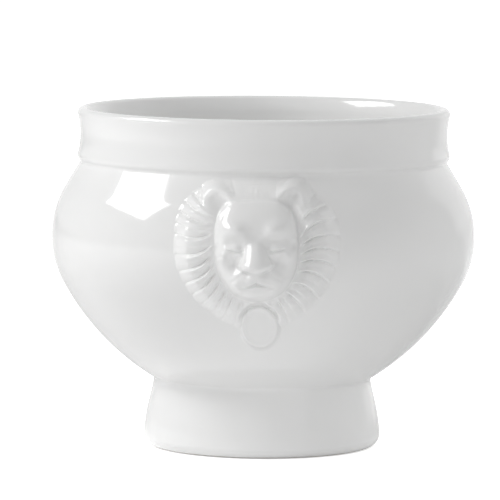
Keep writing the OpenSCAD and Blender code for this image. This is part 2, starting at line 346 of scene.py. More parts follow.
def smooth_line(places, steps=6):
    """Rows along a smooth curve through a few rows of numbers."""
    rows = np.array(places, float)
    ends = np.vstack([2.0 * rows[0] - rows[1], rows, 2.0 * rows[-1] - rows[-2]])
    share = np.linspace(0.0, 1.0, steps, endpoint=False)[:, None]
    line = []
    for a, b, c, d in zip(ends, ends[1:], ends[2:], ends[3:]):
        bend = 2.0 * a - 5.0 * b + 4.0 * c - d + share * (3.0 * (b - c) + d - a)
        line.append(b + 0.5 * share * (c - a + share * bend))
    return np.vstack(line + [rows[-1:]])


def roll(x, z, places):
    """Roll of clay along a smooth line, or a groove where it is negative: x, z, half width and height."""
    whole = np.zeros_like(x)
    line = smooth_line(places)
    for (ax, az, a_half, a_height), (bx, bz, b_half, b_height) in zip(line, line[1:]):
        run = (bx - ax) ** 2 + (bz - az) ** 2
        share = np.clip(((x - ax) * (bx - ax) + (z - az) * (bz - az)) / run, 0.0, 1.0)
        away = (x - ax - share * (bx - ax)) ** 2 + (z - az - share * (bz - az)) ** 2
        half = a_half + share * (b_half - a_half)
        bump = (a_height + share * (b_height - a_height)) * np.exp(-away / half ** 2)
        whole = np.where(np.abs(bump) > np.abs(whole), bump, whole)
    return whole


def blend_max(a, b, soft):
    """The higher of two surfaces, with a soft crease where they cross."""
    return 0.5 * (a + b + np.sqrt((a - b) ** 2 + soft * soft))


def oval(x, z, half, up, down, top_power, low_power):
    """Share of the way out to the edge of an oval that is squarer above than below."""
    power = np.where(z > 0.0, top_power, low_power)
    height = np.where(z > 0.0, up, down)
    return ((np.abs(x) / half) ** power + (np.abs(z) / height) ** power) ** (1.0 / power)


# Swellings and hollows of the face, the same on both sides: place, size and height
FACE_SWELLINGS = (
    ("forehead", (0.0, 9.8), (6.0, 3.6), 0.25),
    ("furrow beside the middle", (3.0, 4.8), (1.6, 1.8), -0.25),
    ("root of the nose", (0.0, 4.4), (2.6, 1.8), -0.45),
    ("eye socket", (6.3, 2.5), (3.4, 1.6), -0.95),
    ("inner corner of the eye", (4.0, 1.2), (1.3, 1.3), -0.80),
    ("upper lid", (6.3, 1.1), (2.6, 1.2), 0.45),
    ("temple", (11.6, 1.3), (1.3, 1.3), -0.90),
    ("cheekbone", (10.1, -1.7), (1.7, 1.9), 0.95),
    ("hollow beside the nose", (6.5, -3.6), (2.1, 2.5), -1.70),
    ("muzzle", (0.0, -10.4), (7.8, 4.8), 2.00),
    ("chin", (0.0, -13.2), (4.6, 1.9), 0.90),
)
# Rolls and grooves of the face, the same on both sides: x, z, half width and height along each
FACE_ROLLS = (
    ("brow", ((4.2, 5.6, 1.9, 0.8), (5.4, 6.3, 2.2, 1.25), (7.0, 6.6, 2.3, 1.2), (8.8, 6.3, 2.1, 0.7),
              (10.4, 5.4, 1.6, 0.2))),
    ("slit of the eye", ((4.2, -0.1, 0.32, -0.3), (5.4, -0.2, 0.36, -0.55), (6.9, 0.0, 0.36, -0.55),
                         (8.4, 0.4, 0.32, -0.2))),
    ("lower lid", ((4.8, -1.0, 0.55, 0.15), (6.4, -1.1, 0.60, 0.25), (8.3, -0.5, 0.55, 0.10))),
    ("groove inside the edge", ((7.6, 12.6, 0.6, -0.1), (10.0, 10.0, 0.6, -0.28), (10.9, 6.8, 0.6, -0.25),
                                (11.2, 3.8, 0.6, -0.1))),
)
# Pellets of clay on the face, the same on both sides: middle, half sizes, lean, foot, rise and soft crease
FACE_PELLETS = (
    ("middle of the muzzle", (0.0, -8.0), (4.4, 3.6), 0.0, 4.2, 4.5, 1.0),
    ("whisker pad", (3.6, -9.1), (4.6, 3.2), -40.0, 3.8, 4.3, 0.7),
)
# Lines drawn last, the same on both sides: x, z, half width and height along each, less than 0 in a groove
FACE_CUTS = (
    ("nostril", ((1.6, -6.9, 0.7, -0.3), (2.6, -6.7, 0.8, -0.8), (3.5, -6.3, 0.7, -0.4))),
    ("upper edge of the pad", ((3.6, -5.0, 0.7, 0.0), (4.7, -6.1, 0.7, 0.35), (6.1, -7.3, 0.8, 0.4),
                               (7.7, -8.7, 0.9, 0.25), (9.0, -10.0, 1.0, 0.0))),
    ("mouth", ((0.0, -9.75, 0.50, -1.3), (1.3, -10.2, 0.42, -0.9), (3.0, -10.6, 0.38, -0.5),
               (4.9, -10.95, 0.35, -0.2))),
)
# Height of the face's middle and of its edge, rise of the edge at the hairline, and drop outside the edge
FACE_MIDDLE = 7.4
FACE_EDGE = 2.4
HAIRLINE_RISE = 2.5
FACE_DROP = 48.0
# Nose from its root down to the lip: z, height above the belly and half width
NOSE = ((6.0, 0.0, 1.7), (3.6, 6.2, 2.0), (2.6, 7.6, 2.3), (1.6, 8.5, 2.6), (0.0, 9.4, 3.2),
        (-2.0, 10.5, 3.9), (-4.0, 11.6, 4.5), (-4.8, 11.9, 4.7), (-5.4, 11.6, 4.7), (-6.0, 10.9, 4.5),
        (-6.8, 9.4, 4.1), (-10.0, 0.0, 3.2))
NOSE_BLUR = (-0.5, -0.25, 0.0, 0.25, 0.5)
# How square the outlines of the face and the mane are, above and below
FACE_POWERS = (3.4, 2.15)
MANE_POWERS = (2.9, 1.8)
# Rim of an ear round its hollow: x, z, half width and height
EAR_RIM = ((7.9, 12.7, 1.2, 0.4), (7.6, 15.0, 1.4, 1.3), (8.7, 17.2, 1.6, 1.8), (11.2, 18.4, 1.8, 2.0),
           (13.7, 17.6, 1.9, 1.7), (14.9, 15.5, 2.0, 1.35), (14.6, 13.2, 2.2, 0.95), (13.2, 11.5, 2.2, 0.4))
EAR_HOLLOW = (11.2, 14.9)
EAR_HOLLOW_SIZE = (2.4, 2.8)
EAR_HOLLOW_DEPTH = 0.35
LEFT_EAR_PRESSED = 0.65
EAR_MIDDLE = (11.5, 15.4)
EAR_RADIUS = 4.6
# Strands: swing as they leave the face, swing back on the right, and steep side of the main and fine ones
SWING_OUT = math.radians(14.0)
SWING_BACK = math.radians(6.0)
MAIN_STEEP = 0.26
FINE_STEEP = 0.35
# Thin tufts on the mane's upper left, and the corner that is drawn in on its upper right
TUFT_TURN = math.radians(146.0)
TUFT_SPREAD = math.radians(20.0)
CORNER_TURN = math.radians(37.0)
CORNER_SPREAD = math.radians(11.0)
CORNER_DEPTH = 1.9
# Height that the mane keeps under the medallion
MANE_UNDER_MEDALLION = 0.8


def nose_height(x, z):
    """Broad nose with a domed front and steep sides."""
    places, heights, halves = np.array(NOSE[::-1]).T
    half = sum(np.interp(z + step, places, halves) for step in NOSE_BLUR) / len(NOSE_BLUR)
    aside = np.abs(x) / half
    z = z - 1.0 * np.minimum(aside, 1.0) ** 2 * smooth(-3.0, -5.0, z)
    ridge = sum(np.interp(z + step, places, heights) for step in NOSE_BLUR) / len(NOSE_BLUR)
    return ridge - 0.68 * half * np.minimum(aside, 1.0) ** 2.3 - 13.0 * np.maximum(aside - 1.0, 0.0)


def pellet(x, z, middle, half, lean, foot, rise):
    """Pellet of clay on a foot, with straight sides, flat in its middle and steep at its edge."""
    turn = math.radians(lean)
    along_it = (x - middle[0]) * math.cos(turn) + (z - middle[1]) * math.sin(turn)
    across_it = (z - middle[1]) * math.cos(turn) - (x - middle[0]) * math.sin(turn)
    out = (along_it / half[0]) ** 4 + (across_it / half[1]) ** 4
    return foot + rise * (1.0 - out)


def face_height(x, z, share):
    """Height of the face above the belly, with a drop outside its edge."""
    side = np.abs(x)
    inner = 1.0 - smooth(0.9, 1.04, share)
    edge = FACE_EDGE + HAIRLINE_RISE * smooth(7.0, 14.0, z) * (1.0 - 0.6 * smooth(6.0, 10.0, side))
    inside = np.maximum(1.0 - share ** (3.3 + 1.5 * smooth(4.0, 9.0, z)), 0.0)
    whole = edge + (FACE_MIDDLE - edge) * inside ** 0.63 - FACE_DROP * np.maximum(share - 1.0, 0.0)
    for _, place, size, height in FACE_SWELLINGS:
        whole = whole + inner * height * swell(side, z, place, size)
    for _, places in FACE_ROLLS:
        whole = whole + inner * roll(side, z, places)
    for _, middle, half, lean, foot, rise, crease in FACE_PELLETS:
        whole = blend_max(whole, pellet(side, z, middle, half, lean, foot, rise), crease)
    whole = blend_max(whole, nose_height(x, z), 0.35)
    for _, places in FACE_CUTS:
        whole = whole + inner * roll(side, z, places)
    return whole


def ear_height(x, z):
    """Cupped ears with a thick rim that is open below; the left one is pressed flatter."""
    side = np.abs(x)
    pressed = np.where(x < 0.0, LEFT_EAR_PRESSED, 1.0)
    return pressed * (roll(side, z, EAR_RIM) - EAR_HOLLOW_DEPTH * swell(side, z, EAR_HOLLOW, EAR_HOLLOW_SIZE))


def strand_count(turn, share, strands):
    """Counts the strands round the mane; each leaves the face on a sweep and then bends outwards."""
    sweep = 1.0 - (1.0 - np.clip(share, 0.0, 1.0)) ** 4
    level = np.cos(turn) ** 2
    right = 0.5 + 0.5 * np.cos(turn)
    swing = SWING_OUT * level * sweep - SWING_BACK * right * level * share ** 2
    root = turn - swing
    wander = 0.12 * np.sin(3.0 * root + 1.0) + 0.05 * np.sin(7.0 * root + 2.0)
    return strands * root / (2.0 * np.pi) + wander


def strand_shape(count, sharp):
    """Cross-section of a strand, which rises sharply on one side and falls slowly on the other."""
    place = count % 1.0
    return smooth(0.0, sharp, place) * (1.0 - place) ** 0.75


def strand_height(lion, count, turn, share, z, tufted):
    """Height of the main and fine strands over the mane's mean surface, for a strand depth of 1."""
    number = np.floor(count) % lion.strands
    vary = np.sin(2.3 * number + 0.9 * number ** 2)
    main = strand_shape(count, MAIN_STEEP)
    fine = strand_shape(2.0 * count, FINE_STEEP)
    thin = 0.2 + 0.9 * tufted + 0.35 * smooth(-9.0, -15.0, z)
    strand = (1.5 + 0.2 * vary - 0.6 * tufted) * main - 0.75 + thin * (fine - 0.4)
    left = 0.5 - 0.5 * np.cos(turn)
    return strand * (1.25 - 0.5 * share + 0.3 * (1.0 - left)) * (1.0 - 0.5 * left * smooth(-8.0, -15.0, z))


def forelock(x, z):
    """Where the forelock lies between the ears, from 0 to 1, and the height of its soft tufts."""
    fringe = smooth(12.5, 15.5, z) * (1.0 - smooth(5.5, 8.5, np.abs(x)))
    tuft = np.abs(np.sin(np.pi * x / 1.9 + 0.9 * np.sin(0.7 * x + 0.6)))
    tuft = (tuft - 0.6) * smooth(13.5, 17.5, z) * (0.65 + 0.35 * np.sin(1.1 * x + 1.0))
    return fringe, 0.15 * fringe * tuft


def mane_height(lion, x, z, turn, share, edge):
    """Height of the mane above the belly; edge is the distance in from its outline."""
    count = strand_count(turn, share, lion.strands)
    from_tufts = np.remainder(turn - TUFT_TURN + math.pi, 2.0 * math.pi) - math.pi
    tufted = np.exp(-(from_tufts / TUFT_SPREAD) ** 2)
    fringe, tuft = forelock(x, z)
    beside = 2.7 + 1.2 * (1.0 - ((share - 0.45) / 0.55) ** 2)
    beside = beside - 1.2 * (0.5 + 0.5 * np.cos(turn)) * (1.0 - smooth(0.0, 0.35, share))
    above = 4.7 - 1.9 * share ** 1.5
    base = (1.0 - fringe) * beside + fringe * above
    from_ear = np.hypot(np.abs(x) - EAR_MIDDLE[0], z - EAR_MIDDLE[1]) - EAR_RADIUS
    combed = smooth(0.0, 1.4, from_ear + 0.4) * (1.0 - fringe)
    grown = combed * smooth(0.02, 0.3 + 0.4 * smooth(4.0, 9.0, z), share) * smooth(-0.6, 0.3, edge)
    between = 0.2 * np.exp(-((count % 1.0) / 0.3) ** 2)
    between_tufts = 0.8 * tufted * np.exp(-(((2.0 * count) % 1.0) / 0.3) ** 2)
    lift = smooth(-0.9, 3.6, edge - combed * (between + between_tufts)) ** 0.7
    strand = lion.strand_depth / MM * strand_height(lion, count, turn, share, z, tufted)
    body = (base + tuft + ear_height(x, z)) * lift + strand * grown * (0.5 + 0.5 * lift)
    return body * (1.0 - 0.4 * smooth(-14.0, -21.0, z)) - 0.02


def face_reach(lion, across, up):
    """How far the face reaches in a direction from its middle."""
    return 1.0 / oval(across, up, lion.face_half / MM, lion.forehead / MM, lion.chin / MM, *FACE_POWERS)


def mane_reach(lion, across, up):
    """How far the mane, with the ears, reaches in a direction from the middle of the face."""
    mane = 1.0 / oval(across, up, lion.mane_half / MM, lion.mane_up / MM, lion.mane_down / MM, *MANE_POWERS)
    corner = (np.arctan2(up, across) - CORNER_TURN) / CORNER_SPREAD
    mane = mane - CORNER_DEPTH * np.exp(-corner ** 2)
    middle = EAR_MIDDLE[0] * np.abs(across) + EAR_MIDDLE[1] * up
    aside = EAR_RADIUS ** 2 - (EAR_MIDDLE[0] ** 2 + EAR_MIDDLE[1] ** 2 - middle ** 2)
    ear = np.where((aside > 0.0) & (middle > 0.0), middle + np.sqrt(np.maximum(aside, 0.0)), 0.0)
    return blend_max(mane, ear, 0.8)


def lion_height(lion, x, z):
    """Height of the whole mask above the belly, in millimetres."""
    turn = np.arctan2(z, x)
    out = np.hypot(x, z)
    face_edge = face_reach(lion, np.cos(turn), np.sin(turn))
    mane_edge = mane_reach(lion, np.cos(turn), np.sin(turn))
    face_share = out / face_edge
    share = np.clip((out - face_edge) / (mane_edge - face_edge), 0.0, 1.2)
    mane = mane_height(lion, x, z, turn, share, mane_edge - out)
    face = face_height(x, z, face_share)
    crease = 0.5 + 1.1 * smooth(8.0, 13.0, z) + 1.4 * smooth(-8.0, -13.0, z)
    joined = np.where(face_share < 1.3, blend_max(mane, face, crease), mane)
    whole = face + (joined - face) * smooth(0.86, 0.97, face_share)
    half = lion.medallion_half / MM
    tall = lion.medallion_tall / MM
    disc = half * (np.hypot(x / half, (z + lion.medallion_drop / MM) / tall) - 1.0)
    clear = smooth(-0.3, 1.1, disc)
    cleared = MANE_UNDER_MEDALLION + (whole - MANE_UNDER_MEDALLION) * clear
    return np.where(whole > MANE_UNDER_MEDALLION, cleared, whole)


# Modelling helpers

# How far the back of a relief lies inside the belly's skin, and how close two points are to be welded
BACK_DEPTH = 0.4 * MM
WELD = 1e-7


def deselect_all():
    """Leaves no object selected, in object mode."""
    if bpy.context.mode != "OBJECT":
        bpy.ops.object.mode_set(mode="OBJECT")
    bpy.ops.object.select_all(action="DESELECT")


def close_skin():
    """Welds doubles and turns all faces of the piece in edit mode outwards."""
    bpy.ops.mesh.select_all(action="SELECT")
    bpy.ops.mesh.remove_doubles(threshold=WELD)
    bpy.ops.mesh.normals_make_consistent(inside=False)


def turn_on_wheel(name, profile, facets):
    """Draws a profile from one point by extruding it and spins it round the bowl's axis."""
    deselect_all()
    bpy.ops.mesh.primitive_plane_add(size=0.01, location=(0.0, 0.0, 0.0))
    piece = bpy.context.object
    piece.name = name
    bpy.ops.object.mode_set(mode="EDIT")
    bpy.ops.mesh.select_all(action="SELECT")
    bpy.ops.mesh.merge(type="CENTER")
    bpy.ops.transform.translate(value=(profile[0][0], 0.0, profile[0][1]))
    for (near_r, near_z), (far_r, far_z) in zip(profile, profile[1:]):
        step = (far_r - near_r, 0.0, far_z - near_z)
        bpy.ops.mesh.extrude_vertices_move(TRANSFORM_OT_translate={"value": step})
    bpy.ops.mesh.select_all(action="SELECT")
    bpy.ops.mesh.spin(steps=facets, angle=2.0 * math.pi, center=(0.0, 0.0, 0.0), axis=(0.0, 0.0, 1.0))
    close_skin()
    bpy.ops.object.mode_set(mode="OBJECT")
    bpy.ops.object.shade_smooth_by_angle(angle=math.radians(40.0))
    return piece


def press_in_mould(name, segments, rings, shape):
    """Wraps a sheet of clay into a closed relief: shape gives each vertex its place from depth and turn."""
    deselect_all()
    bpy.ops.mesh.primitive_grid_add(x_subdivisions=segments, y_subdivisions=rings, size=1.0)
    piece = bpy.context.object
    piece.name = name
    sheet = np.empty(len(piece.data.vertices) * 3)
    piece.data.vertices.foreach_get("co", sheet)
    sheet = sheet.reshape(-1, 3)
    depth = np.clip(sheet[:, 1] + 0.5, 0.0, 1.0)
    turn = 2.0 * math.pi * sheet[:, 0]
    piece.data.vertices.foreach_set("co", shape(depth, turn).ravel())
    piece.data.update()
    bpy.ops.object.mode_set(mode="EDIT")
    close_skin()
    bpy.ops.object.mode_set(mode="OBJECT")
    bpy.ops.object.shade_smooth_by_angle(angle=math.radians(70.0))
    return piece


def front_and_back(depth, front_share):
    """Shares of the way over the front of a sheet, and then over the rest of it."""
    front = np.clip(depth / front_share, 0.0, 1.0)
    back = np.clip((depth - front_share) / (1.0 - front_share), 0.0, 1.0)
    return front, back


def copy_to_rear(piece, name):
    """Copies a piece, with its own mesh, and turns the copy round to the back of the bowl."""
    deselect_all()
    piece.select_set(True)
    bpy.context.view_layer.objects.active = piece
    bpy.ops.object.duplicate(linked=False)
    copy = bpy.context.object
    copy.name = name
    copy.data.transform(Matrix.Rotation(math.pi, 4, "Z"))
    return copy


def seat_on_belly(shape, lion, across, up, height):
    """Places on the front of the belly from places round the middle of the face and heights, in metres."""
    x = across * math.cos(lion.lean) - up * math.sin(lion.lean)
    z = lion.face_height + across * math.sin(lion.lean) + up * math.cos(lion.lean)
    radius = shape.radius(z)
    depth = np.sqrt(np.maximum(radius ** 2 - x ** 2, 0.0))
    return np.stack([x, -(depth + height), z], axis=1)


# Materials

# Textures, as the scale of their noise over a metre
GLAZE_CLOUDS = 28.0
GLAZE_SKIN = 420.0
GLAZE_PINHOLES = 95.0
RING_WOBBLE = 160.0
CLAY_GRIT = 2400.0
# Finish of the glaze and of the bare clay
GLAZE_IOR = 1.52
GLAZE_BUMP = 0.012 * MM
CLOUDED_ROUGHNESS = 0.04
THICKEST_GLAZE = 0.16
CLAY_ROUGHNESS = 0.85
CLAY_GRAIN = 3.0
RING_WANDER = 0.6 * MM
RING_SOFT = 0.25 * MM


class Wiring:
    """Adds nodes to a tree and joins their sockets."""

    def __init__(self, tree):
        self.nodes = tree.nodes
        self.links = tree.links

    def feed(self, socket, value):
        """Joins an input to an output, or gives it a fixed value."""
        if isinstance(value, bpy.types.NodeSocket):
            self.links.new(value, socket)
        else:
            socket.default_value = value

    def add(self, kind, inputs, **settings):
        """Adds a node, makes its settings and feeds its inputs by their names or places."""
        node = self.nodes.new(kind)
        for name, value in settings.items():
            setattr(node, name, value)
        for name, value in inputs.items():
            self.feed(node.inputs[name], value)
        return node

    def shared(self, name, build, inputs):
        """Outputs of a node group that is built once and then found by its name."""
        tree = bpy.data.node_groups.get(name) or build(name)
        return self.add("ShaderNodeGroup", inputs, node_tree=tree).outputs

    def place(self, kind):
        """Coordinates of a place."""
        return self.nodes.new("ShaderNodeTexCoord").outputs[kind]

    def math(self, operation, *values):
        """Result of arithmetic with two or three values."""
        return self.add("ShaderNodeMath", dict(enumerate(values)), operation=operation).outputs["Value"]

    def vector(self, operation, values, result="Value"):
        """Result of arithmetic with one or two vectors."""
        return self.add("ShaderNodeVectorMath", dict(enumerate(values)), operation=operation).outputs[result]

    def noise(self, place, scale, detail):
        """Soft noise with a scale."""
        inputs = {"Vector": place, "Scale": scale, "Detail": detail}
        return self.add("ShaderNodeTexNoise", inputs).outputs["Fac"]

    def mix(self, share, first, second, kind="FLOAT"):
        """Goes over from one value or colour to another."""
        inputs = {"Factor": share, "A": first, "B": second}
        return self.add("ShaderNodeMix", inputs, data_type=kind).outputs["Result"]

    def ramp(self, value, reach, levels=(0.0, 1.0), way="SMOOTHSTEP"):
        """A level that goes from one to another as a value goes from one end of its reach to the other."""
        inputs = {"Value": value, "From Min": reach[0], "From Max": reach[1],
                  "To Min": levels[0], "To Max": levels[1]}
        return self.add("ShaderNodeMapRange", inputs, interpolation_type=way).outputs["Result"]

    def side(self, place, towards):
        """How far a place lies towards one side of the bowl, from -1 to 1."""
        return self.vector("DOT_PRODUCT", (self.vector("NORMALIZE", (place,), "Vector"), towards))

    def rays(self):
        """Levels that are 1 where the camera sees a place, and 1 where the glaze shows it."""
        path = self.nodes.new("ShaderNodeLightPath").outputs
        return path["Is Camera Ray"], self.math("MAXIMUM", path["Is Glossy Ray"], path["Is Transmission Ray"])


def new_group(name, inputs, outputs):
    """An empty node group with its sockets: its tree, the outputs of its start and the inputs of its end."""
    tree = bpy.data.node_groups.new(name, "ShaderNodeTree")
    for way, sockets in (("INPUT", inputs), ("OUTPUT", outputs)):
        for socket, kind in sockets.items():
            tree.interface.new_socket(name=socket, in_out=way, socket_type=kind)
    return tree, tree.nodes.new("NodeGroupInput").outputs, tree.nodes.new("NodeGroupOutput").inputs


def glaze_group(name):
    """Node group with what a fired glaze does: clouds of thicker glaze, a fine orange skin and pinholes."""
    number = "NodeSocketFloat"
    tint = "NodeSocketColor"
    tree, given, result = new_group(name, {"Glaze": tint, "Pooled": tint, "Roughness": number},
                                    {"Colour": tint, "Roughness": number, "Height": number})
    wire = Wiring(tree)
    place = wire.place("Object")
    clouds = wire.noise(place, GLAZE_CLOUDS, 3.0)
    thick = wire.ramp(clouds, (0.3, 0.75), (0.0, THICKEST_GLAZE), "LINEAR")
    wire.feed(result["Colour"], wire.mix(thick, given["Glaze"], given["Pooled"], "RGBA"))
    wire.feed(result["Roughness"], wire.math("MULTIPLY_ADD", clouds, CLOUDED_ROUGHNESS, given["Roughness"]))
    pits = wire.add("ShaderNodeTexVoronoi", {"Vector": place, "Scale": GLAZE_PINHOLES}).outputs["Distance"]
    holes = wire.ramp(pits, (0.0, 0.035), (-0.6, 0.0), "LINEAR")
    skin = wire.noise(place, GLAZE_SKIN, 1.0)
    wire.feed(result["Height"], wire.math("MULTIPLY_ADD", skin, 0.5, holes))
    return tree


def bare_ring_group(name):
    """Node group with a mask that is 1 on the bare clay of the standing ring, and with the clay's grit."""
    number = "NodeSocketFloat"
    tree, given, result = new_group(name, {"Height": number}, {"Mask": number, "Grit": number})
    wire = Wiring(tree)
    place = wire.place("Object")
    up = wire.add("ShaderNodeSeparateXYZ", {"Vector": place}).outputs["Z"]
    line = wire.math("MULTIPLY_ADD", wire.noise(place, RING_WOBBLE, 2.0), RING_WANDER, up)
    below = wire.math("SUBTRACT", given["Height"], line)
    wire.feed(result["Mask"], wire.ramp(below, (0.0, RING_SOFT)))
    wire.feed(result["Grit"], wire.noise(place, CLAY_GRIT, 4.0))
    return tree


def porcelain(bare):
    """Glazed porcelain, made once; for a foot it leaves the clay of the standing ring bare."""
    name = "Porcelain foot" if bare else "Glazed porcelain"
    material = bpy.data.materials.get(name)
    if material:
        return material
    look = bpy.context.scene.porcelain_look
    material = bpy.data.materials.new(name)
    material.use_nodes = True
    wire = Wiring(material.node_tree)
    shader = wire.nodes["Principled BSDF"]
    given = {"Glaze": (*look.glaze, 1.0), "Pooled": (*look.pooled, 1.0), "Roughness": look.roughness}
    glaze = wire.shared("Fired glaze", glaze_group, given)
    tint = glaze["Colour"]
    roughness = glaze["Roughness"]
    height = glaze["Height"]
    if bare:
        ring = wire.shared("Bare standing ring", bare_ring_group, {"Height": look.bare_height})
        tint = wire.mix(ring["Mask"], tint, (*look.biscuit, 1.0), "RGBA")
        roughness = wire.mix(ring["Mask"], roughness, CLAY_ROUGHNESS)
        grain = wire.math("MULTIPLY", ring["Mask"], ring["Grit"])
        height = wire.math("MULTIPLY_ADD", grain, CLAY_GRAIN, height)
    bump = wire.add("ShaderNodeBump", {"Height": height, "Distance": GLAZE_BUMP})
    wire.feed(shader.inputs["IOR"], GLAZE_IOR)
    wire.feed(shader.inputs["Base Color"], tint)
    wire.feed(shader.inputs["Roughness"], roughness)
    wire.feed(shader.inputs["Normal"], bump.outputs["Normal"])
    return material


def hand_over(piece, node, bare=False):
    """Glazes a finished piece and joins it to the frame in place of its CAD node."""
    piece.data.materials.clear()
    piece.data.materials.append(porcelain(bare))
    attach(piece, BODY)
    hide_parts(node)


def press_pair(names, nodes, mesh, shape):
    """Presses a relief for the front of the belly, copies it for the back and hands both over."""
    front = press_in_mould(names[0], *mesh, shape)
    rear = copy_to_rear(front, names[1])
    hand_over(front, nodes[0])
    hand_over(rear, nodes[1])


# Operators, one for each piece or group of like pieces

class SOUP_BOWL_OT_belly(bpy.types.Operator):
    """Throws the round belly of the bowl with its floor"""
    bl_idname = "soup_bowl.belly"
    bl_label = "Belly"

    def execute(self, context):
        sizes = context.scene.bowl_sizes
        piece = turn_on_wheel("porcelain_belly", belly_profile(sizes), sizes.facets)
        hand_over(piece, "belly_shell")
        return {"FINISHED"}


class SOUP_BOWL_OT_collar(bpy.types.Operator):
    """Throws the collar with its waist and round lip"""
    bl_idname = "soup_bowl.collar"
    bl_label = "Collar"

    def execute(self, context):
        sizes = context.scene.bowl_sizes
        piece = turn_on_wheel("porcelain_collar", collar_profile(sizes), sizes.facets)
        hand_over(piece, "collar")
        return {"FINISHED"}


class SOUP_BOWL_OT_foot(bpy.types.Operator):
    """Throws the hollow foot with its bare standing ring"""
    bl_idname = "soup_bowl.foot"
    bl_label = "Foot"

    def execute(self, context):
        sizes = context.scene.bowl_sizes
        profile = foot_profile(sizes)
        piece = turn_on_wheel("porcelain_foot", profile + profile[:1], sizes.facets)
        hand_over(piece, "pedestal_foot", bare=True)
        return {"FINISHED"}


class SOUP_BOWL_OT_lion_masks(bpy.types.Operator):
    """Presses the lion masks and sets them on the front and back of the belly"""
    bl_idname = "soup_bowl.lion_masks"
    bl_label = "Lion masks"

    # Shares of the mesh rings on the front, and of these on the face; skirt outside the mane, in millimetres
    FRONT_SHARE = 0.9
    FACE_SHARE = 0.5
    SKIRT = 1.0

    def execute(self, context):
        lion = context.scene.lion_sizes
        belly = BellyShape(context.scene.bowl_sizes)

        def shape(depth, turn):
            front, back = front_and_back(depth, self.FRONT_SHARE)
            across = np.cos(turn)
            up = np.sin(turn)
            face = face_reach(lion, across, up)
            outline = mane_reach(lion, across, up) + self.SKIRT
            inner, outer = front_and_back(front, self.FACE_SHARE)
            reach = inner * face + (1.0 - (1.0 - outer) ** 1.35) * (outline - face)
            reach = np.where(back > 0.0, outline * (1.0 - back), reach)
            x = reach * across
            z = reach * up
            height = np.where(back > 0.0, -BACK_DEPTH, lion_height(lion, x, z) * MM)
            return seat_on_belly(belly, lion, x * MM, z * MM, height)

        press_pair(("lion_mask_front", "lion_mask_rear"), ("front_lion_mask", "rear_lion_mask"),
                   (lion.segments, lion.rings), shape)
        return {"FINISHED"}


class SOUP_BOWL_OT_medallions(bpy.types.Operator):
    """Presses the plain medallions under the lions' chins"""
    bl_idname = "soup_bowl.medallions"
    bl_label = "Medallions"

    # Mesh spokes and rings, share of the rings on the front, and the disc's skirt, round edge and seat
    SEGMENTS = 160
    RINGS = 90
    FRONT_SHARE = 0.88
    SKIRT = 0.8 * MM
    ROUND = 0.9 * MM
    SINK = 0.01 * MM

    def execute(self, context):
        lion = context.scene.lion_sizes
        belly = BellyShape(context.scene.bowl_sizes)
        radius = lion.medallion_half
        border = lion.border_width
        stretch = lion.medallion_tall / lion.medallion_half

        def shape(depth, turn):
            front, back = front_and_back(depth, self.FRONT_SHARE)
            share = np.where(back > 0.0, 1.0 - back, 1.0 - (1.0 - front) ** 1.3)
            reach = share * (radius + self.SKIRT)
            edge = radius - reach
            rim = lion.border_rise * np.exp(-((edge - 0.9 * border) / (0.75 * border)) ** 2)
            disc = (lion.medallion_rise + rim) * smooth(-0.9 * self.SKIRT, self.ROUND, edge) - self.SINK
            height = np.where(back > 0.0, -BACK_DEPTH, disc)
            up = stretch * reach * np.sin(turn) - lion.medallion_drop
            return seat_on_belly(belly, lion, reach * np.cos(turn), up, height)

        press_pair(("medallion_front", "medallion_rear"), ("front_medallion", "rear_medallion"),
                   (self.SEGMENTS, self.RINGS), shape)
        return {"FINISHED"}


